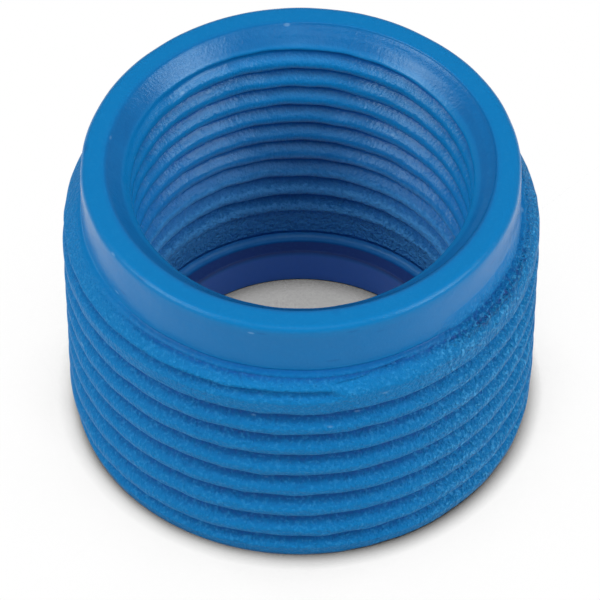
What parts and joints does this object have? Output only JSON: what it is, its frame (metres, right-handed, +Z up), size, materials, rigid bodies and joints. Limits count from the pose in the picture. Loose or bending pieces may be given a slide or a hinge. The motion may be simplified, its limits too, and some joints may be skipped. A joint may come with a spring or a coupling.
{
  "type": "reducing bushing",
  "caption": "Blue-coated reducing bushing: a plain collar over a tapered outer pipe thread, with a smaller tapered threaded socket that ends at an open ring.",
  "frame": {"origin": "middle of the bottom face, at the small end of the outer thread", "axes": "+Z up along the common axis of both threads, from the outer thread's small end to the socket's mouth; the front of the picture is -Y"},
  "size_m": [0.0338, 0.0338, 0.0233],
  "materials": {
    "blue_coating": "satin, slightly grainy blue coating over cast iron"
  },
  "bodies": {
    "root": {"reducing_bushing": "blue_coating"}
  },
  "joints": []
}
